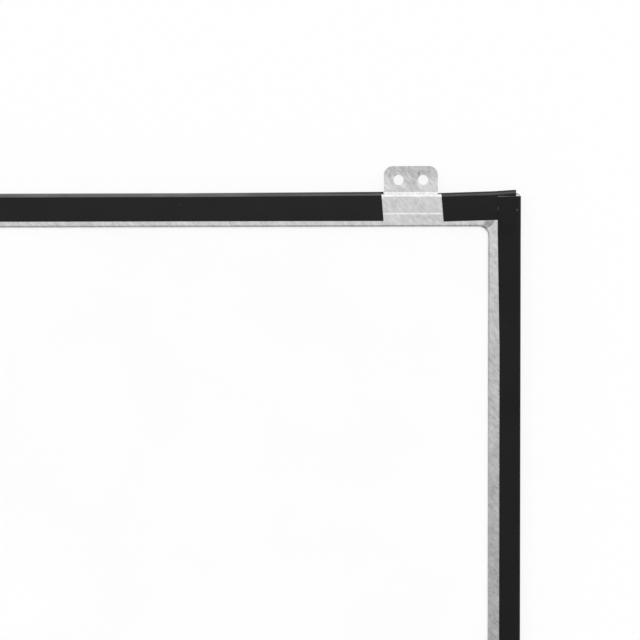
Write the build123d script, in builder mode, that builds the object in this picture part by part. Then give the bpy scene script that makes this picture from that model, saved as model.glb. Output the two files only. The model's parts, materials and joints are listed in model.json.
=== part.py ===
"""Laptop screen panel: a slim edge-lit display module, lying face down with its back up.

Millimetres. The back faces +Z, the top edge faces +Y, and X runs to the right as seen from behind.
"""

import os
from math import atan2, sqrt, tan

from build123d import *

os.makedirs("parts", exist_ok=True)

# Picture area, and the borders round it out to the edge tapes
active_width = 344.23
active_height = 193.54
side_margin = 7.635
top_margin = 5.6
bottom_margin = 10.36
corner_radius = 1.0

# Thickness of each sheet and layer
polarizer_thickness = 0.2
glass_thickness = 0.5
rim_tape_thickness = 0.05
ledge_thickness = 0.4
film_thickness = 0.15
light_guide_thickness = 0.7
reflector_thickness = 0.25
steel_thickness = 0.3
tape_thickness = 0.1
flex_thickness = 0.1
adhesive_thickness = 0.1
board_thickness = 0.6

# How far the layers reach past the picture area
front_polarizer_margin = 2.0
rear_polarizer_margin = 1.5
ledge_margin = 1.9
glass_margin = 3.6
glass_bottom_margin = 3.0
bond_ledge = 3.2
guide_margin = 3.2
guide_bottom_margin = 2.2
film_bottom_margin = 0.6

# Room left between neighbours
fit_gap = 0.05
cell_gap = 0.2
guide_gap = 0.3
tape_gap = 0.35
notch_gap = 0.5

# Steel rear frame: walls, raised inner lip and window
steel_inset = 0.12
steel_bend = 0.92
wall_gap = 0.1
corner_relief = 1.2
lip_height = 0.1
lip_run = 0.12
lip_radius = 3.0
top_lip = 5.46
side_lip = 4.0
bottom_lip = 15.3
top_border = 8.86
side_border = 8.77
bottom_border = 18.5
window_radius = 2.6
window_chamfer = 0.25
chamfer_angle = 57

# Shallow creases pressed across the inner corners of the steel frame
crease_radius = 3.8
crease_depth = 0.07
crease_length = 3.6

# Mounting ears, bent out of the steel frame
ear_width = 14.35
ear_reach = 7.15
ear_from_side = 29.29
ear_drop = 1.0
ear_bend = 0.5
ear_bend_start = 0.82
ear_bend_end = 0.2
ear_lap = 1.0
ear_corner = 2.4
ear_relief = 0.15
hole_diameter = 2.7
hole_spacing = 6.55
hole_from_tip = 3.7

# Snap hooks on the plastic and their slots in the steel
snap_width = 6.0
snap_height = 0.6
snap_reach = 0.25
snap_lift = 0.3
snap_share = 0.28
rim_chamfer = 0.15

# Backlight strip
led_count = 42
led_share = 0.67
led_depth = 0.8
led_height = 0.6
led_gap = 0.1
strip_lap = 1.4
strip_tail_width = 9.0

# Driver films and chips on the bottom edge
driver_count = 4
driver_width = 32.0
driver_bond = 1.6
fold_clearance = 0.05
driver_chip_length = 22.0
driver_chip_depth = 1.5
driver_chip_height = 0.35
driver_chip_gap = 0.5

# Control board and what stands on it
board_side_gap = 41.75
board_depth = 10.0
board_from_edge = 4.7
board_radius = 0.8
adhesive_inset = 0.8
part_edge = 0.1
timing_size = 6.4
timing_height = 0.85
timing_x = -6.0
power_size = 4.0
power_height = 0.75
backlight_size = 3.5
backlight_height = 0.75
backlight_gap = 14.0
memory_length = 3.0
memory_depth = 2.0
memory_height = 0.6
memory_gap = 10.0
inductor_size = 4.0
inductor_height = 1.0
inductor_chamfer = 0.6
inductor_offset = 8.0
capacitor_length = 2.0
capacitor_depth = 1.25
capacitor_height = 0.8
capacitor_terminal = 0.4
capacitor_pitch = 3.4
capacitor_row = 5
socket_length = 12.0
socket_depth = 3.0
socket_height = 0.9
socket_grip = 1.0

# Data connector at the top edge of the board
connector_from_end = 16.0
connector_length = 19.0
connector_depth = 3.9
connector_height = 0.9
connector_setback = 0.3
connector_floor = 0.2
mouth_length = 15.6
mouth_depth = 2.8
mouth_height = 0.5
shell_thickness = 0.12
shell_gap = 0.02
shell_depth = 3.2
shell_tab = 1.1
contact_count = 30
contact_pitch = 0.5
contact_width = 0.24
contact_thickness = 0.1
contact_setback = 0.6
contact_tail = 0.9

# Cover film over the board
film_rest = 1.2
film_bend = 0.5
film_slope = 1.8
film_drop = 1.4
film_window = 26.0
film_window_gap = 1.6

# Edge tapes on the back
top_tape_width = 7.4
side_tape_width = 5.77
tape_end_gap = 1.4
side_tape_end = 0.85
tape_lean = 0.078
middle_tape_gap = 0.7
tape_ear_gap = 0.86
skewed_tape_start = 7.62
skewed_tape_end = 7.08
skewed_tape_turn = 0.72
skewed_turn_flare = 0.46
skewed_tape_flare = 0.84
middle_tape_turn = 0.6
middle_turn_flare = 0.12
middle_tape_flare = 0.37
side_tape_top_width = 6.28
side_tape_taper = 30.0
tape_lap = 0.3
lap_ramp = 3.0
tape_rim_radius = 1.0
tape_lip_lead = 0.3

# Heights of the layers, from the front face upwards
z_glass = polarizer_thickness
z_bond = z_glass + glass_thickness
z_cell = z_bond + glass_thickness
z_ledge = z_cell + rim_tape_thickness
z_films = z_ledge + ledge_thickness
z_guide = z_films + 3 * film_thickness
z_strip = z_guide - flex_thickness
z_reflector = z_guide + light_guide_thickness
z_back = z_reflector + reflector_thickness
z_steel = z_back + steel_thickness
z_lip = z_steel + lip_height
z_wall = z_films + wall_gap
z_board = z_steel + adhesive_thickness
z_parts = z_board + board_thickness
z_fold = z_parts + flex_thickness + fold_clearance
z_hood = z_parts + inductor_height + fit_gap
z_lap = z_lip + tape_thickness

# Outlines derived from the picture area
module_width = active_width + 2 * side_margin
module_height = active_height + top_margin + bottom_margin
body_width = module_width - 2 * tape_thickness
body_height = module_height - 2 * tape_thickness
steel_width = body_width - 2 * steel_inset
steel_height = body_height - 2 * steel_inset
wall_inset = steel_inset + steel_thickness + fit_gap
active_y = (bottom_margin - top_margin) / 2
tft_bottom_margin = glass_bottom_margin + bond_ledge
ear_x = module_width / 2 - ear_from_side
inner_bend = (2 - sqrt(2)) * (steel_bend - steel_thickness)
z_ear = z_back - ear_drop
ear_room = ear_bend_start + ear_bend - steel_thickness
ear_places = [(edge, side * ear_x) for edge in ("top", "bottom") for side in (-1, 1)]

# Lines at the bottom edge, measured inwards from the plastic rim
bottom_edge = bottom_margin - tape_thickness
strip_top = bottom_edge - film_bottom_margin - cell_gap
led_edge = bottom_edge - guide_bottom_margin - led_gap
strip_edge = led_edge - led_depth - strip_lap
board_edge = board_from_edge - tape_thickness
board_top = board_edge + board_depth
fold_line = flex_thickness + fold_clearance
fold_radius = (z_parts - z_bond) / 2 - fold_clearance
tail_radius = (z_parts - z_guide) / 2 - fold_clearance
fold_notch = fold_line + fold_radius + guide_gap
bond_end = board_edge + driver_bond
parts_low = bond_end + notch_gap
film_foot = bottom_lip + lip_run + notch_gap
parts_y = (parts_low + board_top - notch_gap) / 2 - body_height / 2

# Places along the board and the edges
board_length = module_width - 2 * board_side_gap
driver_pitch = board_length / driver_count
driver_places = [(i - (driver_count - 1) / 2) * driver_pitch for i in range(driver_count)]
strip_tail_x = (driver_places[-2] + driver_places[-1]) / 2
power_x = (driver_places[0] + driver_places[1]) / 2
backlight_x = strip_tail_x - backlight_gap
memory_x = timing_x + memory_gap
inductor_places = [power_x - inductor_offset, power_x + inductor_offset, backlight_x - inductor_offset]
capacitor_places = [(inductor_places[0] - board_length / 2) / 2, (inductor_places[1] + timing_x) / 2,
                    (inductor_places[2] + memory_x) / 2]
connector_x = board_length / 2 - connector_from_end
snap_bottom_x = (driver_places[-1] + (driver_width + board_length) / 2) / 2
snap_places = [("top", i * snap_share * module_width) for i in (-1, 0, 1)]
snap_places += [("bottom", i * snap_bottom_x) for i in (-1, 0, 1)]
snap_places += [(edge, i * snap_share * module_height) for edge in ("left", "right") for i in (-1, 1)]
z_snap = z_wall + snap_lift
inward = {"top": (0, -1, 0), "bottom": (0, 1, 0), "right": (-1, 0, 0), "left": (1, 0, 0)}


def save(piece, name):
    """Names a finished piece and writes its file."""
    piece.label = name
    export_step(piece, f"parts/{name}.step")


def edge_plane(edge, place):
    """A section across one edge: X runs inwards from the plastic rim, Y runs up the stack."""
    direction = Vector(*inward[edge])
    along = Vector(abs(direction.Y), abs(direction.X), 0) * place
    origin = along - Vector(direction.X * body_width / 2, direction.Y * body_height / 2, 0)
    return Plane(origin=origin, x_dir=direction, z_dir=direction.cross(Vector(0, 0, 1)))


def bent_strip(points, radii, thickness):
    """Draws the section of a thin strip bent along points, its thickness on the right of the path."""
    with BuildLine() as outline:
        path = FilletPolyline(*points, radius=radii) if radii else Polyline(*points)
        offset(path, amount=thickness, side=Side.RIGHT, kind=Kind.INTERSECTION, closed=True)
    make_face(outline.edges())


def active_rectangle(side, top, bottom):
    """Draws a rectangle that reaches past the picture area by the given margins."""
    with Locations((0, active_y + (top - bottom) / 2)):
        Rectangle(active_width + 2 * side, active_height + top + bottom)


def flat_layer(name, z_front, thickness, side, top, bottom):
    """A flat sheet of the display stack."""
    with BuildPart() as layer:
        with BuildSketch(Plane.XY.offset(z_front)):
            active_rectangle(side, top, bottom)
        extrude(amount=thickness)
    save(layer.part, name)


def block(name, place, length, depth, height):
    """A moulded chip on the control board."""
    with BuildPart() as chip:
        with BuildSketch(Plane.XY.offset(z_parts)):
            with Locations((place, parts_y)):
                Rectangle(length, depth)
        extrude(amount=height)
        chamfer(chip.faces().sort_by(Axis.Z)[-1].edges(), part_edge)
    save(chip.part, name)


# Display cell and optical sheets
flat_layer("front_polarizer", 0, polarizer_thickness,
           front_polarizer_margin, front_polarizer_margin, front_polarizer_margin)
flat_layer("colour_filter_glass", z_glass, glass_thickness, glass_margin, glass_margin, glass_bottom_margin)
flat_layer("tft_glass", z_bond, glass_thickness, glass_margin, glass_margin, tft_bottom_margin)
flat_layer("rear_polarizer", z_cell, polarizer_thickness,
           rear_polarizer_margin, rear_polarizer_margin, rear_polarizer_margin)
flat_layer("upper_prism_sheet", z_films, film_thickness, guide_margin, guide_margin, film_bottom_margin)
flat_layer("lower_prism_sheet", z_films + film_thickness, film_thickness,
           guide_margin, guide_margin, film_bottom_margin)
flat_layer("diffuser_sheet", z_guide - film_thickness, film_thickness,
           guide_margin, guide_margin, film_bottom_margin)
flat_layer("light_guide_plate", z_guide, light_guide_thickness,
           guide_margin, guide_margin, guide_bottom_margin)
flat_layer("reflector_sheet", z_reflector, reflector_thickness,
           guide_margin, guide_margin, bottom_edge - strip_edge)

# Rim tape that holds the cell on the plastic ledge
with BuildPart() as cell_rim_tape:
    with BuildSketch(Plane.XY.offset(z_cell)):
        active_rectangle(glass_margin - fit_gap, glass_margin - fit_gap, tft_bottom_margin - fit_gap)
    extrude(amount=rim_tape_thickness)
    with BuildSketch(Plane.XY.offset(z_cell)):
        active_rectangle(ledge_margin + fit_gap, ledge_margin + fit_gap, ledge_margin + fit_gap)
    extrude(amount=rim_tape_thickness, mode=Mode.SUBTRACT)
save(cell_rim_tape.part, "cell_rim_tape")

# LED strip: a flexible circuit whose tail folds round the bottom edge to the board
with BuildPart() as led_strip:
    with BuildSketch(Plane.XY.offset(z_strip)):
        with Locations((0, (strip_top + strip_edge) / 2 - body_height / 2)):
            Rectangle(active_width + 2 * guide_margin, strip_top - strip_edge)
    extrude(amount=flex_thickness)
    with BuildSketch(edge_plane("bottom", strip_tail_x)):
        bent_strip(
            [(parts_low + socket_grip, z_parts), (fold_line, z_parts), (fold_line, z_guide),
             (strip_edge + strip_lap / 2, z_guide)],
            [tail_radius, tail_radius], flex_thickness)
    extrude(amount=strip_tail_width / 2, both=True)
save(led_strip.part, "led_strip")

# Row of light-emitting diodes on the strip
with BuildPart() as backlight_leds:
    with BuildSketch(Plane.XY.offset(z_guide)):
        with Locations((0, led_edge - led_depth / 2 - body_height / 2)):
            with GridLocations(active_width / led_count, 0, led_count, 1):
                Rectangle(led_share * active_width / led_count, led_depth)
    extrude(amount=led_height)
save(backlight_leds.part, "backlight_leds")

# Plastic frame: rim round the cell, ledge, rear wall inside the steel, hooks
with BuildPart() as mould_frame:
    with BuildSketch(Plane.XY.offset(z_glass)):
        RectangleRounded(body_width, body_height, corner_radius)
    extrude(amount=z_films - z_glass)
    chamfer(mould_frame.faces().sort_by(Axis.Z)[0].edges(), rim_chamfer)
    chamfer(mould_frame.faces().sort_by(Axis.Z)[-1].edges(), rim_chamfer)
    with BuildSketch(Plane.XY.offset(z_films)):
        RectangleRounded(body_width - 2 * wall_inset, body_height - 2 * wall_inset, corner_radius)
    extrude(amount=z_back - z_films)
    chamfer(mould_frame.faces().sort_by(Axis.Z)[-1].edges(), inner_bend)
    # Pocket for the cell, window through the ledge, pockets for the sheets and the strip
    with BuildSketch(Plane.XY.offset(z_glass)):
        active_rectangle(glass_margin + cell_gap, glass_margin + cell_gap, tft_bottom_margin + cell_gap)
    extrude(amount=z_ledge - z_glass, mode=Mode.SUBTRACT)
    with BuildSketch(Plane.XY.offset(z_ledge)):
        active_rectangle(ledge_margin, ledge_margin, ledge_margin)
    extrude(amount=ledge_thickness, mode=Mode.SUBTRACT)
    with BuildSketch(Plane.XY.offset(z_films)):
        active_rectangle(guide_margin + guide_gap, guide_margin + guide_gap, film_bottom_margin + fit_gap)
    extrude(amount=z_back - z_films, mode=Mode.SUBTRACT)
    with BuildSketch(Plane.XY.offset(z_strip)):
        active_rectangle(guide_margin + guide_gap, guide_margin + guide_gap,
                         bottom_edge - strip_edge + guide_gap)
    extrude(amount=z_back - z_strip, mode=Mode.SUBTRACT)
    # Notches for the driver films and for the strip's tail
    for place in driver_places:
        with BuildSketch(edge_plane("bottom", place)):
            with Locations((fold_notch / 2, (z_glass + z_back) / 2)):
                Rectangle(fold_notch, z_back - z_glass)
            with Locations((bottom_edge / 2, (z_glass + z_bond + fit_gap) / 2)):
                Rectangle(bottom_edge, z_bond + fit_gap - z_glass)
        extrude(amount=driver_width / 2 + notch_gap, both=True, mode=Mode.SUBTRACT)
    with BuildSketch(edge_plane("bottom", strip_tail_x)):
        with Locations((strip_edge / 2, (z_strip - fit_gap + z_back) / 2)):
            Rectangle(strip_edge, z_back - z_strip + fit_gap)
    extrude(amount=strip_tail_width / 2 + notch_gap, both=True, mode=Mode.SUBTRACT)
    # Room under the bent ears
    for edge, place in ear_places:
        with BuildSketch(edge_plane(edge, place)):
            with Locations((ear_room / 2, (z_films + z_back) / 2)):
                Rectangle(ear_room, z_back - z_films)
        extrude(amount=ear_width / 2 + ear_relief, both=True, mode=Mode.SUBTRACT)
    # Snap hooks
    for edge, place in snap_places:
        with BuildSketch(edge_plane(edge, place)):
            with BuildLine():
                Polyline((wall_inset, z_snap), (wall_inset - snap_reach, z_snap),
                         (wall_inset, z_snap + snap_height - 2 * fit_gap), close=True)
            make_face()
        extrude(amount=snap_width / 2 - fit_gap, both=True)
save(mould_frame.part, "mould_frame")


def steel_skin(inset, z_flat, lip_inset):
    """One skin of the pressed steel frame: side walls, flat border and the raised lip."""
    with BuildPart() as skin:
        with BuildSketch(Plane.XY.offset(z_wall)):
            RectangleRounded(steel_width - 2 * inset, steel_height - 2 * inset, corner_radius - inset)
        extrude(amount=z_flat - z_wall)
        if inset:
            chamfer(skin.faces().sort_by(Axis.Z)[-1].edges(), inner_bend)
        else:
            fillet(skin.faces().sort_by(Axis.Z)[-1].edges(), steel_bend)
        for rise, taken_in in ((0, lip_inset), (lip_height, lip_inset + lip_run)):
            with BuildSketch(Plane.XY.offset(z_flat + rise)):
                with Locations((0, (bottom_lip - top_lip) / 2)):
                    RectangleRounded(module_width - 2 * (side_lip + taken_in),
                                     module_height - top_lip - bottom_lip - 2 * taken_in,
                                     lip_radius - taken_in)
        loft()
    return skin.part


# One mounting ear at the middle of the top edge
with BuildPart() as ear:
    with BuildSketch(edge_plane("top", 0)):
        bent_strip(
            [(ear_bend_start + ear_lap, z_back), (ear_bend_start, z_back), (-ear_bend_end, z_ear),
             (-ear_reach - tape_thickness, z_ear)],
            [ear_bend - steel_thickness, ear_bend], steel_thickness)
    extrude(amount=ear_width / 2, both=True)
    fillet(ear.edges().filter_by(Axis.Z).group_by(Axis.Y)[-1], ear_corner)
    with BuildSketch(Plane.XY.offset(z_ear)):
        with Locations((0, module_height / 2 + ear_reach - hole_from_tip)):
            with GridLocations(hole_spacing, 0, 2, 1):
                Circle(hole_diameter / 2)
    extrude(amount=steel_thickness, mode=Mode.SUBTRACT)
ear_below = mirror(ear.part, about=Plane.XZ, mode=Mode.PRIVATE)

# Steel rear frame with its four ears
slope_angle = atan2(lip_height, lip_run)
outer_skin = steel_skin(0, z_steel, 0)
inner_skin = steel_skin(steel_thickness, z_back, steel_thickness * tan(slope_angle / 2))
window_width = module_width - 2 * side_border
window_height = module_height - top_border - bottom_border
window_y = (bottom_border - top_border) / 2

with BuildPart() as rear_frame:
    add(outer_skin)
    add(inner_skin, mode=Mode.SUBTRACT)
    with BuildSketch(Plane.XY.offset(z_back)):
        with Locations((0, window_y)):
            RectangleRounded(window_width, window_height, window_radius)
    extrude(amount=z_lip - z_back, mode=Mode.SUBTRACT)
    with BuildSketch(Plane.XY.offset(z_lip - window_chamfer)):
        with Locations((0, window_y)):
            RectangleRounded(window_width, window_height, window_radius)
    extrude(amount=window_chamfer, taper=-chamfer_angle, mode=Mode.SUBTRACT)
    # Creases across the inner corners, fading outwards
    for side in (-1, 1):
        for end in (-1, 1):
            mouth = Vector(side * window_width / 2, window_y + end * window_height / 2,
                           z_lip + crease_radius - crease_depth)
            with BuildSketch(Plane(origin=mouth, z_dir=(side, end, crease_depth / crease_length))):
                Circle(crease_radius)
            extrude(amount=crease_length, both=True, mode=Mode.SUBTRACT)
    # Walls open at the corners, slots for the hooks, notches for the films and the tail
    with BuildSketch(Plane.XY.offset(z_wall)):
        with GridLocations(steel_width - corner_relief, steel_height - corner_relief, 2, 2):
            Rectangle(corner_relief, corner_relief)
    extrude(amount=z_steel - steel_bend - z_wall, mode=Mode.SUBTRACT)
    for edge, place in snap_places:
        with BuildSketch(edge_plane(edge, place)):
            with Locations((steel_inset + steel_thickness / 2, z_snap + snap_height / 2 - fit_gap)):
                Rectangle(steel_thickness + fit_gap, snap_height)
        extrude(amount=snap_width / 2, both=True, mode=Mode.SUBTRACT)
    for place, width in [(x, driver_width) for x in driver_places] + [(strip_tail_x, strip_tail_width)]:
        with BuildSketch(edge_plane("bottom", place)):
            with Locations((fold_notch / 2, (z_wall + z_steel) / 2)):
                Rectangle(fold_notch, z_steel - z_wall)
        extrude(amount=width / 2 + notch_gap, both=True, mode=Mode.SUBTRACT)
    # Ears in place of the wall, with a relief on each side
    for edge, place in ear_places:
        with BuildSketch(edge_plane(edge, place)):
            with Locations((ear_bend_start / 2, (z_wall + z_steel) / 2)):
                Rectangle(ear_bend_start, z_steel - z_wall)
        extrude(amount=ear_width / 2, both=True, mode=Mode.SUBTRACT)
        with BuildSketch(edge_plane(edge, place)):
            with Locations((steel_inset + steel_thickness / 2, (z_wall + z_steel) / 2)):
                Rectangle(steel_thickness, z_steel - z_wall)
        extrude(amount=ear_width / 2 + ear_relief, both=True, mode=Mode.SUBTRACT)
    with Locations((-ear_x, 0), (ear_x, 0)):
        add(ear.part)
        add(ear_below)
save(rear_frame.part, "rear_frame")

# Driver films, folded from the glass to the board, with a chip on each
for number, place in enumerate(driver_places, 1):
    with BuildPart() as driver_film:
        with BuildSketch(edge_plane("bottom", place)):
            bent_strip(
                [(bond_end, z_parts), (fold_line, z_parts), (fold_line, z_bond),
                 (bottom_edge - tft_bottom_margin + driver_bond, z_bond)],
                [fold_radius, fold_radius], flex_thickness)
        extrude(amount=driver_width / 2, both=True)
    save(driver_film.part, f"driver_film_{number}")
    with BuildPart() as driver_chip:
        with BuildSketch(Plane.XY.offset(z_parts - driver_chip_height)):
            with Locations((place, board_edge - driver_chip_gap - driver_chip_depth / 2 - body_height / 2)):
                Rectangle(driver_chip_length, driver_chip_depth)
        extrude(amount=driver_chip_height)
    save(driver_chip.part, f"driver_chip_{number}")

# Control board on its adhesive
board_y = board_edge + board_depth / 2 - body_height / 2
with BuildPart() as board_adhesive:
    with BuildSketch(Plane.XY.offset(z_steel)):
        with Locations((0, board_y)):
            Rectangle(board_length - 2 * adhesive_inset, board_depth - 2 * adhesive_inset)
    extrude(amount=adhesive_thickness)
save(board_adhesive.part, "board_adhesive")

with BuildPart() as control_board:
    with BuildSketch(Plane.XY.offset(z_board)):
        with Locations((0, board_y)):
            RectangleRounded(board_length, board_depth, board_radius)
    extrude(amount=board_thickness)
save(control_board.part, "control_board")

# Chips, inductors and capacitors on the board
block("timing_controller", timing_x, timing_size, timing_size, timing_height)
block("power_chip", power_x, power_size, power_size, power_height)
block("backlight_chip", backlight_x, backlight_size, backlight_size, backlight_height)
block("memory_chip", memory_x, memory_length, memory_depth, memory_height)

with BuildPart() as power_inductors:
    with BuildSketch(Plane.XY.offset(z_parts)):
        with Locations(*[(place, parts_y) for place in inductor_places]):
            Rectangle(inductor_size, inductor_size)
    extrude(amount=inductor_height)
    chamfer(power_inductors.edges().filter_by(Axis.Z), inductor_chamfer)
save(power_inductors.part, "power_inductors")

with BuildPart() as board_capacitors:
    for place in capacitor_places:
        with BuildSketch(Plane.XY.offset(z_parts)):
            with Locations((place, parts_y)):
                with GridLocations(capacitor_pitch, 0, capacitor_row, 1):
                    Rectangle(capacitor_length, capacitor_depth)
        extrude(amount=capacitor_height - part_edge)
        with BuildSketch(Plane.XY.offset(z_parts)):
            with Locations((place, parts_y)):
                with GridLocations(capacitor_pitch, 0, capacitor_row, 1):
                    with GridLocations(capacitor_length - capacitor_terminal, 0, 2, 1):
                        Rectangle(capacitor_terminal, capacitor_depth + part_edge)
        extrude(amount=capacitor_height)
save(board_capacitors.part, "board_capacitors")

# Socket for the LED strip's tail
with BuildPart() as led_socket:
    with BuildSketch(edge_plane("bottom", strip_tail_x)):
        with Locations((parts_low + socket_depth / 2, z_parts + socket_height / 2)):
            Rectangle(socket_depth, socket_height)
    extrude(amount=socket_length / 2, both=True)
    chamfer(led_socket.faces().sort_by(Axis.Z)[-1].edges(), part_edge)
    with BuildSketch(edge_plane("bottom", strip_tail_x)):
        with Locations((parts_low + socket_grip / 2, z_parts + flex_thickness / 2)):
            Rectangle(socket_grip + fit_gap, flex_thickness + 2 * fit_gap)
    extrude(amount=strip_tail_width / 2 + fit_gap, both=True, mode=Mode.SUBTRACT)
save(led_socket.part, "led_socket")

# Data connector: housing, steel shell and contacts
mouth_edge = board_top - connector_setback
z_mouth = z_parts + connector_floor
with BuildPart() as connector_housing:
    with BuildSketch(edge_plane("bottom", connector_x)):
        with Locations((mouth_edge - connector_depth / 2, z_parts + connector_height / 2)):
            Rectangle(connector_depth, connector_height)
    extrude(amount=connector_length / 2, both=True)
    with BuildSketch(edge_plane("bottom", connector_x)):
        with Locations((mouth_edge - mouth_depth / 2, z_mouth + mouth_height / 2)):
            Rectangle(mouth_depth, mouth_height)
        with Locations((mouth_edge - connector_depth / 2, z_mouth + contact_thickness / 2 + fit_gap / 2)):
            Rectangle(connector_depth, contact_thickness + fit_gap)
    extrude(amount=mouth_length / 2, both=True, mode=Mode.SUBTRACT)
save(connector_housing.part, "connector_housing")

with BuildPart() as connector_shell:
    shell_side = connector_length / 2 + shell_gap
    z_shell = z_parts + connector_height + shell_gap
    mouth = Vector(connector_x, mouth_edge - body_height / 2, 0)
    with BuildSketch(Plane(origin=mouth, x_dir=(1, 0, 0), z_dir=(0, -1, 0))):
        bent_strip(
            [(shell_side + shell_tab, z_parts), (shell_side, z_parts), (shell_side, z_shell),
             (-shell_side, z_shell), (-shell_side, z_parts), (-shell_side - shell_tab, z_parts)],
            [shell_thickness + part_edge / 2, part_edge, part_edge, shell_thickness + part_edge / 2],
            shell_thickness)
    extrude(amount=shell_depth)
save(connector_shell.part, "connector_shell")

with BuildPart() as connector_contacts:
    back_edge = mouth_edge - connector_depth
    for i in range(contact_count):
        place = connector_x + (i - (contact_count - 1) / 2) * contact_pitch
        with BuildSketch(edge_plane("bottom", place)):
            bent_strip(
                [(mouth_edge - contact_setback, z_mouth), (back_edge - connector_floor, z_mouth),
                 (back_edge - 2 * connector_floor, z_parts), (back_edge - contact_tail, z_parts)],
                None, contact_thickness)
        extrude(amount=contact_width / 2, both=True)
save(connector_contacts.part, "connector_contacts")

# Cover film: from the steel lip over the board, round the bottom edge, onto the glass
front_leg_bottom = bottom_edge - front_polarizer_margin - tape_gap
with BuildPart() as board_cover_film:
    with BuildSketch(edge_plane("bottom", 0)):
        bent_strip(
            [(film_foot + film_rest, z_lip), (film_foot, z_lip), (film_foot - film_slope, z_hood),
             (parts_low, z_hood), (parts_low - film_drop, z_fold), (0, z_fold), (0, z_glass),
             (front_leg_bottom, z_glass)],
            [film_bend] * 5 + [0], tape_thickness)
    extrude(amount=board_length / 2 - fit_gap, both=True)
    with BuildSketch(Plane.XY.offset(z_steel)):
        with Locations((connector_x, (back_edge - film_window_gap + film_foot + 2 * film_rest) / 2
                        - body_height / 2)):
            Rectangle(film_window, film_foot + 2 * film_rest - back_edge + film_window_gap)
    extrude(amount=z_hood, mode=Mode.SUBTRACT)
save(board_cover_film.part, "board_cover_film")


def wrap(edge, stations, rest, front_leg):
    """Sections of an edge tape at stations: place along the edge, width on the back, flare off the rim.

    Rest gives the height of the flat part, where it ends above a lip, and the height at the edge.
    """
    z_rest, rest_end, z_edge = rest
    sections = []
    for place, width, flare in stations:
        points = [(width - tape_thickness, z_rest)]
        radii = [steel_bend, tape_rim_radius, 0]
        if rest_end:
            points.append((rest_end, z_rest))
            radii.insert(0, 0)
        points += [(steel_inset - flare, z_edge), (-flare, z_films), (-flare, z_glass), (front_leg, z_glass)]
        with BuildSketch(edge_plane(edge, place)) as section:
            bent_strip(points, radii, tape_thickness)
        sections.append(section.sketch)
    return sections


def cut_back(place, facing, lean):
    """The room above the rim, beside an ear, that a top tape leaves free along a slanted cut."""
    line = Plane(origin=(place, module_height / 2, z_films), x_dir=(0, 0, 1), z_dir=(facing, lean, 0))
    with BuildPart(line) as room:
        Box(z_lap, module_height, ear_width, align=(Align.MIN, Align.CENTER, Align.MIN))
    return room.part


# Top tapes: the middle one between the ears, one outside each ear
front_leg_top = top_margin - front_polarizer_margin - tape_gap - tape_thickness
lip_reach = lip_run - tape_thickness - tape_lip_lead
top_rest = (z_lip, top_lip + lip_reach, z_steel)
middle_stop = ear_x - ear_width / 2 - middle_tape_gap
outer_start = ear_x + ear_width / 2 + tape_ear_gap
tape_stop = module_width / 2 - tape_end_gap
inner_side = ear_x - ear_width / 2 - fit_gap
outer_side = ear_x + ear_width / 2 + fit_gap
with BuildPart() as top_middle_tape:
    loft(wrap("top", [(-inner_side, top_tape_width, 0),
                      (middle_tape_turn * ear_x, top_tape_width, middle_turn_flare),
                      (inner_side, top_tape_width, middle_tape_flare)], top_rest, front_leg_top),
         ruled=True)
    add(cut_back(middle_stop, 1, tape_lean), mode=Mode.SUBTRACT)
    add(cut_back(-middle_stop, -1, tape_lean), mode=Mode.SUBTRACT)
save(top_middle_tape.part, "top_middle_tape")

skew_turn = outer_side + skewed_tape_turn * (tape_stop - outer_side)
turn_width = skewed_tape_start + skewed_tape_turn * (skewed_tape_end - skewed_tape_start)
with BuildPart() as top_right_tape:
    loft(wrap("top", [(outer_side, skewed_tape_start, 0), (skew_turn, turn_width, skewed_turn_flare),
                      (tape_stop, skewed_tape_end, skewed_tape_flare)],
              top_rest, front_leg_top), ruled=True)
    add(cut_back(outer_start, -1, -tape_lean), mode=Mode.SUBTRACT)
save(top_right_tape.part, "top_right_tape")

with BuildPart() as top_left_tape:
    loft(wrap("top", [(-tape_stop, top_tape_width, 0), (-outer_side, top_tape_width, 0)],
              top_rest, front_leg_top), ruled=True)
    add(cut_back(-outer_start, 1, -tape_lean), mode=Mode.SUBTRACT)
save(top_left_tape.part, "top_left_tape")

# Bottom tapes outside the lower ears
for name, ends in (("bottom_left_tape", (-tape_stop, -outer_start)),
                   ("bottom_right_tape", (outer_start, tape_stop))):
    with BuildPart() as bottom_tape:
        loft(wrap("bottom", [(x, top_tape_width, 0) for x in ends], (z_steel, None, z_steel),
                  front_leg_bottom), ruled=True)
    save(bottom_tape.part, name)

# Side tapes, ramped up and lapped over the ends of the top and bottom tapes
front_leg_side = side_margin - front_polarizer_margin - tape_gap - tape_thickness
lap_line = module_height / 2 - skewed_tape_start - tape_lap
ramp_line = lap_line - lap_ramp
side_stop = module_height / 2 - side_tape_end
side_rest = (z_lip, side_lip + lip_reach, z_steel)
lap_rest = (z_lap + fit_gap, side_lip + lip_reach, z_lap)
for edge, top_width in (("left", side_tape_width), ("right", side_tape_top_width)):
    with BuildPart() as side_tape:
        lower_lap = wrap(edge, [(-side_stop, side_tape_width, 0), (-lap_line, side_tape_width, 0)],
                         lap_rest, front_leg_side)
        along_lip = wrap(edge, [(-ramp_line, side_tape_width, 0),
                                (ramp_line - side_tape_taper, side_tape_width, 0),
                                (ramp_line, top_width, 0)], side_rest, front_leg_side)
        upper_lap = wrap(edge, [(lap_line, top_width, 0), (side_stop, top_width, 0)],
                         lap_rest, front_leg_side)
        loft(lower_lap + along_lip + upper_lap, ruled=True)
        # Front leg stops short of the top and bottom tapes
        with BuildSketch():
            with Locations((0, (module_height - front_leg_top - tape_gap) / 2)):
                Rectangle(module_width, front_leg_top + tape_gap)
            with Locations((0, -(module_height - front_leg_bottom - tape_gap) / 2)):
                Rectangle(module_width, front_leg_bottom + tape_gap)
        extrude(amount=z_glass, mode=Mode.SUBTRACT)
    save(side_tape.part, f"{edge}_side_tape")
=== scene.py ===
import json
import math

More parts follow.
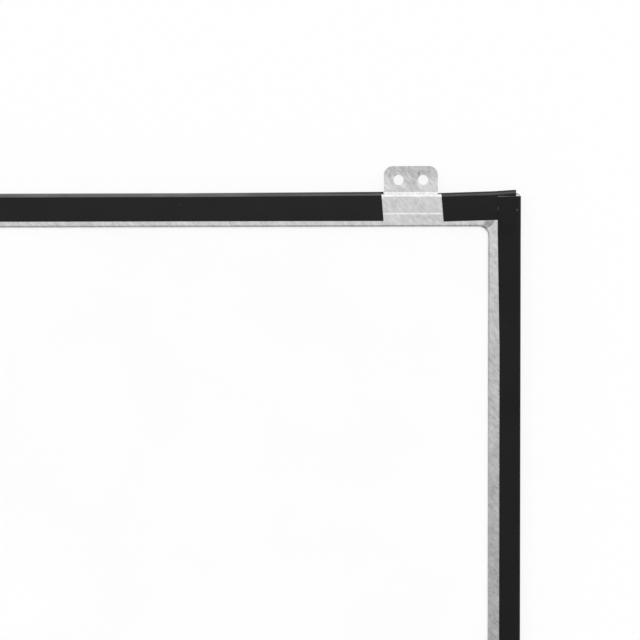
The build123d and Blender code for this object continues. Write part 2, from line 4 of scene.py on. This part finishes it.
import bpy
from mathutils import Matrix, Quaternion, Vector


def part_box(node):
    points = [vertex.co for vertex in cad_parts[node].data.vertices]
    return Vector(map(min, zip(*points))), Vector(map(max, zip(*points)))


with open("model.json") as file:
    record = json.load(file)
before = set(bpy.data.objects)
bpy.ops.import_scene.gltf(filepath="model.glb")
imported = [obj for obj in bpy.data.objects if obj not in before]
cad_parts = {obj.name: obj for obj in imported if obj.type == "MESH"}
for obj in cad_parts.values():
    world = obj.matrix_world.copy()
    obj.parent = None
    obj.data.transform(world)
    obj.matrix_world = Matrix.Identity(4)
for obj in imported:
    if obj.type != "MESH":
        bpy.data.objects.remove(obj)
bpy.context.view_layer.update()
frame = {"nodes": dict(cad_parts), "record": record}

scene = bpy.context.scene
scene.view_settings.view_transform = "Standard"
mm = 0.001

# Places on the panel: the rim along the top, the tips of the ears, the side, and the ends of the side tapes
rim_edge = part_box("mould_frame")[1].y
ear_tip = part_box("rear_frame")[1].y
side_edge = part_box("rear_frame")[1].x
side_tape_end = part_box("right_side_tape")[1].y

# Marks on the steel, in millimetres: centre, reach along and across, turn in degrees, strength
steel_marks = [
    # Painted shade in the crease at the inner corner and along the window's rounded corner
    ((170.5, 96.8), (1.6, 0.8), 36.0, 0.9),
    ((171.6, 96.45), (1.9, 0.5), 47.0, 1.0),
    ((171.8, 97.2), (1.6, 0.9), 25.0, 0.35),
    ((169.8, 95.7), (1.6, 0.5), -30.0, 0.75),
    # Darker spots on the bare outer corner between the tapes and on the window's edge
    ((178.8, 104.6), (1.3, 1.3), 0.0, 0.7),
    ((166.1, 96.1), (0.5, 0.4), 0.0, 0.6),
    # Stains and scuffs on the ear
    ((144.9, 109.35), (0.75, 0.5), -65.0, 0.5),
    ((152.6, 109.9), (0.95, 0.36), 80.0, 1.2),
    ((149.0, 108.2), (0.6, 0.4), -45.0, 0.4),
    ((155.1, 110.35), (0.6, 0.4), 45.0, 0.35),
    ((149.5, 106.6), (0.6, 0.25), -45.0, 0.4),
]

# Painted highlights along the lip beside the top ears, in millimetres: centre, reach along X and Y
lip_highlights = [((side * 149.6, 99.3), (20.0, 0.45)) for side in (-1, 1)]
lip_highlight_strength = 0.5

# How far the plane of a steel face lies from the origin, counted outward: where the painted highlight on
# bends starts and is full, and the limit past which a face looks inward and is the window's sheared edge
highlight_start = 20.0 * mm
highlight_full = 60.0 * mm
highlight_share = 0.8
sheared_limit = -30.0 * mm

# Lint on the right side tape, in millimetres: centre, reach along X and Y
tape_lint = [
    ((178.6, 100.2), (0.36, 0.32)),
    ((173.5, 100.6), (0.3, 0.7)),
]
lint_strength = 0.6

# The grey strip at the side tapes' cut ends, partly the cut edge's own lighter tone and partly a painted
# highlight: its width, where near the side it fades, and what is left there
cut_strip = 0.22 * mm
fade_start = side_edge - 6.0 * mm
fade_end = side_edge - 2.0 * mm
faded_share = 0.4

# Top tapes that stand off: where that starts along the edge, where they are well off, share of the painted
# highlight left
right_tape_lifts = (110 * mm, 150 * mm, 0.55)
middle_tape_lifts = (95 * mm, 135 * mm, 0.86)

# Painted highlight across the bend of a tape that stands off: how far the surface turns down, share of the
# highlight
lifted_highlight = [(0.06, 0.0), (0.16, 0.7), (0.3, 1.0), (0.48, 1.0), (0.6, 0.3), (1.0, 0.05)]


# Small helpers for node trees

class Nodes:
    """A node tree, and short calls that add nodes to it."""

    def __init__(self, tree):
        self.tree = tree

    def add(self, kind, **settings):
        """A node with its settings and the values of its input sockets."""
        node = self.tree.nodes.new(kind)
        for key, value in settings.items():
            if hasattr(node, key):
                setattr(node, key, value)
            else:
                node.inputs[key.replace("_", " ")].default_value = value
        return node

    def link(self, source, target):
        self.tree.links.new(source, target)

    def math(self, operation, first, second=0.0):
        """A sum or the like of sockets and numbers."""
        node = self.add("ShaderNodeMath", operation=operation)
        for socket, value in zip(node.inputs, (first, second)):
            if isinstance(value, (int, float)):
                socket.default_value = value
            else:
                self.link(value, socket)
        return node.outputs[0]

    def dot(self):
        """A node that gives the dot product of two vectors."""
        return self.add("ShaderNodeVectorMath", operation="DOT_PRODUCT")

    def span(self, source, start, end, low=0.0, high=1.0):
        """Low up to start, high past end, and even between them."""
        node = self.add("ShaderNodeMapRange", From_Min=start, From_Max=end, To_Min=low, To_Max=high)
        self.link(source, node.inputs["Value"])
        return node.outputs["Result"]

    def ramp(self, source, stops):
        """A colour ramp of (place, grey or colour) stops."""
        node = self.add("ShaderNodeValToRGB")
        while len(node.color_ramp.elements) < len(stops):
            node.color_ramp.elements.new(1.0)
        for element, (place, colour) in zip(node.color_ramp.elements, stops):
            element.position = place
            grey = colour if isinstance(colour, tuple) else (colour, colour, colour)
            element.color = (*grey, 1.0)
        self.link(source, node.inputs["Fac"])
        return node.outputs["Color"]

    def mix_shaders(self, factor, first, second):
        """A node that blends two shader nodes."""
        node = self.add("ShaderNodeMixShader")
        self.link(factor, node.inputs["Fac"])
        self.link(first.outputs[0], node.inputs[1])
        self.link(second.outputs[0], node.inputs[2])
        return node


class Shader(Nodes):
    """A material with one Principled shader, and short calls that add textures to it."""

    def __init__(self, name, **sockets):
        self.material = bpy.data.materials.new(name)
        self.material.use_nodes = True
        super().__init__(self.material.node_tree)
        self.principled = self.tree.nodes["Principled BSDF"]
        for socket, value in sockets.items():
            self.principled.inputs[socket.replace("_", " ")].default_value = value

    def coords(self, output="Object"):
        """The point's place in the part's frame, in metres, or its normal."""
        return self.add("ShaderNodeTexCoord").outputs[output]

    def axes(self, vector):
        """The X, Y and Z parts of a vector."""
        parts = self.add("ShaderNodeSeparateXYZ")
        self.link(vector, parts.inputs[0])
        return parts.outputs

    def place(self, turn=0.0, stretch=(1.0, 1.0, 1.0), centre=(0.0, 0.0, 0.0)):
        """Places about a centre; a texture on them is drawn out along axes turned about Z, in degrees."""
        mapping = self.add("ShaderNodeMapping", vector_type="TEXTURE")
        mapping.inputs["Location"].default_value = centre
        mapping.inputs["Rotation"].default_value = (0.0, 0.0, math.radians(turn))
        mapping.inputs["Scale"].default_value = stretch
        self.link(self.coords(), mapping.inputs["Vector"])
        return mapping.outputs["Vector"]

    def noise(self, vector, size, detail=4.0, roughness=0.5):
        """Noise with features of about the given size in metres."""
        node = self.add("ShaderNodeTexNoise", Scale=1.0 / size, Detail=detail, Roughness=roughness)
        self.link(vector, node.inputs["Vector"])
        return node.outputs["Fac"]

    def mix(self, factor, first, second, blend="MIX"):
        """Two colours blended; factor is a number or a socket."""
        node = self.add("ShaderNodeMix", data_type="RGBA", blend_type=blend)
        if isinstance(factor, float):
            node.inputs[0].default_value = factor
        else:
            self.link(factor, node.inputs[0])
        self.link(first, node.inputs[6])
        self.link(second, node.inputs[7])
        return node.outputs[2]

    def times(self, first, second):
        """Two colours multiplied."""
        return self.mix(1.0, first, second, "MULTIPLY")

    def bend(self, stops):
        """A tone that follows how far the surface turns down over the top or bottom edge."""
        return self.ramp(self.math("ABSOLUTE", self.axes(self.coords("Normal"))["Y"]), stops)

    def along(self, axis, start, end, low=0.0, high=1.0):
        """Low up to one distance from the middle along an axis, high past another, either way."""
        return self.span(self.math("ABSOLUTE", self.axes(self.coords())[axis]), start, end, low, high)

    def patch(self, centre, reach, turn=0.0):
        """A soft patch, one at the centre and none past its reach in X and Y, all in millimetres."""
        spot = self.place(turn, (reach[0] * mm, reach[1] * mm, 1.0), (centre[0] * mm, centre[1] * mm, 0.0))
        x, y, _ = self.axes(spot)
        squares = self.math("ADD", self.math("MULTIPLY", x, x), self.math("MULTIPLY", y, y))
        return self.ramp(self.math("SQRT", squares), [(0.25, 1.0), (1.0, 0.0)])

    def colour(self, source):
        self.link(source, self.principled.inputs["Base Color"])

    def rough(self, source, low, high):
        """Roughness from low at nought to high at one, and on past them."""
        node = self.add("ShaderNodeMapRange", To_Min=low, To_Max=high, clamp=False)
        self.link(source, node.inputs["Value"])
        self.link(node.outputs["Result"], self.principled.inputs["Roughness"])

    def bump(self, source, distance, strength):
        node = self.add("ShaderNodeBump", Strength=strength, Distance=distance)
        self.link(source, node.inputs["Height"])
        self.link(node.outputs["Normal"], self.principled.inputs["Normal"])


# Materials

def steel_material():
    """Galvanised sheet: pale grey with small crystals, slanting flecks, handling smudges and stains, painted
    highlights on bends and the lip, and painted shade at a creased corner.
    """
    s = Shader("galvanised_steel", Metallic=0.85)
    flecks = s.noise(s.place(-45.0, (2.1, 1.0, 1.0)), 0.75 * mm, 4.0, 0.62)
    cloud = s.noise(s.place(-50.0, (1.8, 1.0, 1.0)), 3.0 * mm, 3.0, 0.55)
    specks = s.noise(s.place(-40.0, (1.8, 1.0, 1.0)), 0.6 * mm, 2.0, 0.5)
    blots = s.noise(s.place(-50.0, (2.0, 1.0, 1.0)), 1.4 * mm, 4.0, 0.62)
    tone = s.ramp(flecks, [(0.3, 0.5), (0.5, 0.6), (0.72, 0.71)])
    tone = s.times(tone, s.ramp(cloud, [(0.3, 0.88), (0.62, 1.0)]))
    tone = s.times(tone, s.ramp(specks, [(0.22, 0.88), (0.38, 1.0)]))
    # Ears are soiled and grow duller towards their tips
    out = s.along("Y", rim_edge, ear_tip)
    tone = s.times(tone, s.ramp(out, [(0.1, 1.0), (0.28, 1.1), (0.75, 0.83)]))
    soiled = s.times(tone, s.ramp(blots, [(0.36, 0.8), (0.5, 0.98), (0.65, 1.07)]))
    tone = s.mix(s.ramp(out, [(0.1, 0.0), (0.2, 1.0)]), tone, soiled)
    # Painted highlight: bends that face outward are made paler
    outward = s.dot()
    s.link(s.coords("Normal"), outward.inputs[0])
    s.link(s.coords(), outward.inputs[1])
    facing = outward.outputs["Value"]
    highlight_tone = s.ramp(flecks, [(0.3, 0.7), (0.7, 0.88)])
    tone = s.mix(s.span(facing, highlight_start, highlight_full, high=highlight_share), tone, highlight_tone)
    # The lip gets a painted highlight where it shows beside the top ears
    for centre, reach in lip_highlights:
        tone = s.mix(s.math("MULTIPLY", s.patch(centre, reach), lip_highlight_strength), tone, highlight_tone)
    # Painted shade at the creased corner, stains and darker spots
    wear_and_painted_light = s.ramp(flecks, [(0.35, 1.0), (0.65, 0.55)])
    dark = s.ramp(specks, [(0.3, 0.16), (0.6, 0.26)])
    for centre, reach, turn, strength in steel_marks:
        mark = s.math("MULTIPLY", s.patch(centre, reach, turn), wear_and_painted_light)
        tone = s.mix(s.math("MULTIPLY", mark, strength), tone, dark)
    # The sheared edge of the window is duller than the rolled faces
    sheared = s.math("LESS_THAN", facing, sheared_limit)
    s.colour(s.times(tone, s.ramp(sheared, [(0.0, 1.0), (1.0, 0.88)])))
    s.rough(s.math("MAXIMUM", flecks, s.math("MULTIPLY", sheared, 4.5)), 0.23, 0.345)
    s.bump(flecks, 0.02 * mm, 0.25)
    return s.material


def tape_material(name="black_tape", gloss=0.16, lifts=None, end=None):
    """Matt black polyester: faint cloudiness, fine grain, dust specks, and a painted highlight that makes
    the bend grey; a cut end gets a grey strip, partly its own lighter cut edge and partly a painted
    highlight.

    Lifts gives where along the edge the tape starts to stand off, where it is well off, and how much of the
    painted highlight is left there: a narrow ridge instead of the whole bend. End is how far out the tape is
    cut.
    """
    s = Shader(name, Specular_IOR_Level=gloss)
    cloud = s.noise(s.place(), 12.0 * mm, 3.0)
    grain = s.noise(s.place(), 0.4 * mm, 2.0)
    dust = s.noise(s.place(), 1.3 * mm, 1.0)
    streaks = s.noise(s.place(stretch=(3.3, 1.0, 1.0)), 3.0 * mm, 3.0)
    face = s.ramp(cloud, [(0.3, 0.007), (0.7, 0.0095)])
    dust_and_highlight = s.ramp(streaks, [(0.3, 0.087), (0.7, 0.13)])
    # Painted highlight: the bend over the top and bottom edges is made grey
    wear_and_painted_light = s.bend([(0.06, 0.0), (0.14, 1.0)])
    if lifts:
        start, off, left = lifts
        # Where the tape stands off, the painted highlight narrows to a ridge
        ridge = [(place, left * share) for place, share in lifted_highlight]
        wear_and_painted_light = s.mix(s.along("X", start, off), wear_and_painted_light, s.bend(ridge))
    tone = s.mix(wear_and_painted_light, face, dust_and_highlight)
    if end:
        # Grey strip at the cut end, partly the cut edge's lighter tone and partly a painted highlight,
        # fading towards the side
        cut = s.math("GREATER_THAN", s.math("ABSOLUTE", s.axes(s.coords())["Y"]), end - cut_strip)
        left_over = s.along("X", fade_start, fade_end, 1.0, faded_share)
        tone = s.mix(s.math("MULTIPLY", cut, left_over), tone, dust_and_highlight)
        for centre, reach in tape_lint:
            tone = s.mix(s.math("MULTIPLY", s.patch(centre, reach), lint_strength), tone, dust_and_highlight)
    s.colour(s.mix(s.ramp(dust, [(0.8, 0.0), (0.84, 0.25)]), tone, dust_and_highlight))
    s.rough(grain, 0.42, 0.56)
    s.bump(grain, 0.006 * mm, 0.3)
    return s.material


def reflector_material():
    """Matt white foamed sheet with barely visible clouding."""
    s = Shader("white_reflector", Specular_IOR_Level=0.05)
    cloud = s.noise(s.place(), 30.0 * mm, 3.0)
    grain = s.noise(s.place(), 0.6 * mm, 2.0)
    s.colour(s.ramp(cloud, [(0.3, 0.96), (0.7, 0.975)]))
    s.rough(grain, 0.55, 0.7)
    s.bump(grain, 0.004 * mm, 0.2)
    return s.material


def moulded_material(name, dark, light, low=0.42, high=0.58):
    """Moulded plastic, resin or coated part: two close tones and a fine eroded grain."""
    s = Shader(name, Specular_IOR_Level=0.4)
    cloud = s.noise(s.place(), 4.0 * mm, 3.0)
    grain = s.noise(s.place(), 0.3 * mm, 2.0)
    s.colour(s.ramp(cloud, [(0.3, dark), (0.7, light)]))
    s.rough(grain, low, high)
    s.bump(grain, 0.008 * mm, 0.35)
    return s.material


def metal_material(name, dark, light, low, high):
    """Small plated metal parts."""
    s = Shader(name, Metallic=1.0)
    streaks = s.noise(s.place(stretch=(6.0, 1.0, 1.0)), 0.15 * mm, 3.0)
    s.colour(s.ramp(streaks, [(0.3, dark), (0.7, light)]))
    s.rough(streaks, low, high)
    return s.material


def clear_material(name, dark, light, roughness, transmission):
    """Glass and clear sheets of the display stack."""
    s = Shader(name, Roughness=roughness, Transmission_Weight=transmission)
    cloud = s.noise(s.place(), 20.0 * mm, 2.0)
    s.colour(s.ramp(cloud, [(0.3, dark), (0.7, light)]))
    return s.material


def polarizer_material():
    """Dark front film with an anti-glare haze."""
    s = Shader("front_film", Specular_IOR_Level=0.5)
    cloud = s.noise(s.place(), 50.0 * mm, 2.0)
    sparkle = s.noise(s.place(), 0.25 * mm, 2.0)
    s.colour(s.ramp(cloud, [(0.3, (0.010, 0.010, 0.012)), (0.7, (0.014, 0.014, 0.017))]))
    s.rough(sparkle, 0.2, 0.32)
    s.bump(sparkle, 0.004 * mm, 0.4)
    return s.material


def board_material():
    """Green solder mask over faint copper tracks."""
    s = Shader("solder_mask", Specular_IOR_Level=0.5, Coat_Weight=0.15)
    cells_per_metre = 900.0
    cells = s.add("ShaderNodeTexVoronoi", Scale=cells_per_metre, distance="MANHATTAN",
                  feature="DISTANCE_TO_EDGE")
    s.link(s.place(stretch=(1.0, 2.9, 1.0)), cells.inputs["Vector"])
    tracks = cells.outputs["Distance"]
    s.colour(s.ramp(tracks, [(0.05, (0.012, 0.085, 0.035)), (0.12, (0.02, 0.14, 0.06))]))
    s.rough(s.noise(s.place(), 0.3 * mm, 2.0), 0.3, 0.42)
    s.bump(tracks, 0.02 * mm, 0.4)
    return s.material


# Finish of each material slot: name, darker and lighter tone, then roughness or clearness
materials = {
    "steel": steel_material(),
    "black_tape": tape_material(),
    "black_mould": moulded_material("black_moulding", 0.014, 0.022),
    "reflector": reflector_material(),
    "polarizer": polarizer_material(),
    "glass": clear_material("cell_glass", (0.78, 0.86, 0.83), (0.82, 0.9, 0.87), 0.03, 0.9),
    "optical_film": clear_material("optical_film", 0.82, 0.88, 0.3, 0.6),
    "light_guide": clear_material("light_guide", (0.86, 0.92, 0.92), (0.9, 0.95, 0.95), 0.06, 0.85),
    "flex": moulded_material("amber_flex", (0.30, 0.13, 0.03), (0.40, 0.18, 0.045), 0.25, 0.38),
    "led": moulded_material("led_resin", (0.85, 0.72, 0.34), (0.9, 0.8, 0.42), 0.2, 0.3),
    "board": board_material(),
    "chip": moulded_material("chip_compound", 0.02, 0.03, 0.4, 0.55),
    "inductor": moulded_material("ferrite", 0.06, 0.09, 0.5, 0.65),
    "capacitor": moulded_material("fired_body", (0.30, 0.22, 0.15), (0.40, 0.31, 0.22), 0.3, 0.45),
    "adhesive": moulded_material("adhesive_film", 0.6, 0.7, 0.4, 0.5),
    "connector_body": moulded_material("beige_moulding", (0.62, 0.56, 0.44), (0.7, 0.64, 0.52), 0.4, 0.52),
    "connector_steel": metal_material("tinned_steel", 0.46, 0.58, 0.24, 0.38),
    "contact": metal_material("gold_flash", (0.78, 0.55, 0.2), (0.86, 0.64, 0.28), 0.2, 0.32),
}
slots = {entry["node"]: entry["material_slot"] for entry in frame["record"]["subparts"]}
for node, obj in frame["nodes"].items():
    obj.data.materials.clear()
    obj.data.materials.append(materials[slots[node]])

# Tapes that stand off or show a cut end
side_tape = tape_material("side_tape", gloss=0.12, end=side_tape_end)
lifted_and_cut_tapes = {
    "top_right_tape": tape_material("lifted_tape", gloss=0.14, lifts=right_tape_lifts),
    "top_middle_tape": tape_material("middle_tape", lifts=middle_tape_lifts),
    "right_side_tape": side_tape,
    "left_side_tape": side_tape,
}
for node, material in lifted_and_cut_tapes.items():
    frame["nodes"][node].data.materials[0] = material


# Camera, nearly straight above the upper right corner
view_centre = Vector((126.24 * mm, 71.08 * mm, 3.4 * mm))
view_span = 170.2 * mm
view_distance = 0.55
view_tilt = math.radians(2.5)
view_roll = math.radians(0.13)
camera_data = bpy.data.cameras.new("camera")
camera_data.sensor_width = 36.0
camera_data.lens = camera_data.sensor_width * view_distance / view_span
camera_data.clip_start = 0.01
camera_data.clip_end = 100.0
camera = bpy.data.objects.new("camera", camera_data)
camera.location = view_centre + view_distance * Vector((0, math.sin(view_tilt), math.cos(view_tilt)))
camera.rotation_mode = "QUATERNION"
camera.rotation_quaternion = Quaternion((1, 0, 0), -view_tilt) @ Quaternion((0, 0, 1), -view_roll)
scene.collection.objects.link(camera)
scene.camera = camera


# Floor, just under the panel
floor_grey = 0.95
floor_white_share = 0.85
floor_reach = 4.0
floor_level = -0.1 * mm
white_colour = (1.0, 1.0, 1.0, 1.0)


def floor_material():
    """White to the camera and to reflections, with the panel's soft shadow kept; clear from underneath."""
    material = bpy.data.materials.new("floor")
    material.use_nodes = True
    n = Nodes(material.node_tree)
    n.tree.nodes.clear()
    diffuse = n.add("ShaderNodeBsdfDiffuse", Color=(floor_grey, floor_grey, floor_grey, 1.0))
    white = n.add("ShaderNodeEmission", Color=white_colour, Strength=1.0)
    paths = n.add("ShaderNodeLightPath")
    seen = n.math("MAXIMUM", paths.outputs["Is Camera Ray"], paths.outputs["Is Glossy Ray"])
    upper = n.mix_shaders(n.math("MULTIPLY", seen, floor_white_share), diffuse, white)
    clear = n.add("ShaderNodeBsdfTransparent")
    geometry = n.add("ShaderNodeNewGeometry")
    sides = n.mix_shaders(geometry.outputs["Backfacing"], upper, clear)
    output = n.add("ShaderNodeOutputMaterial")
    n.link(sides.outputs[0], output.inputs["Surface"])
    return material


square = [(-1, -1), (1, -1), (1, 1), (-1, 1)]
floor_corners = [(x * floor_reach, y * floor_reach, floor_level) for x, y in square]
floor_mesh = bpy.data.meshes.new("floor")
floor_mesh.from_pydata(floor_corners, [], [(0, 1, 2, 3)])
floor_mesh.materials.append(floor_material())
floor = bpy.data.objects.new("floor", floor_mesh)
scene.collection.objects.link(floor)


# Soft light from all round: the side that it grows towards, near the top edge's, and its strength
# at places from the far side (-1) over the middle (0) to that side (1)
light_side = (0.05, 0.98, 0.0)
light_levels = [(-1.0, 0.85), (-0.3, 0.4), (-0.1, 0.42), (0.03, 1.42), (0.3, 1.52), (1.0, 1.45)]


def surround():
    """The light, with plain white for the camera beyond the floor."""
    world = bpy.data.worlds.new("surround")
    world.use_nodes = True
    n = Nodes(world.node_tree)
    side = n.dot()
    side.inputs[1].default_value = light_side
    n.link(n.add("ShaderNodeTexCoord").outputs["Generated"], side.inputs[0])
    strongest = max(level for _, level in light_levels)
    stops = [((place + 1.0) / 2.0, level / strongest) for place, level in light_levels]
    share = n.ramp(n.span(side.outputs["Value"], -1.0, 1.0), stops)
    light = n.tree.nodes["Background"]
    light.inputs["Color"].default_value = white_colour
    n.link(n.math("MULTIPLY", share, strongest), light.inputs["Strength"])
    white = n.add("ShaderNodeBackground", Color=white_colour)
    paths = n.add("ShaderNodeLightPath")
    seen = n.mix_shaders(paths.outputs["Is Camera Ray"], light, white)
    n.link(seen.outputs[0], n.tree.nodes["World Output"].inputs["Surface"])
    return world


scene.world = surround()
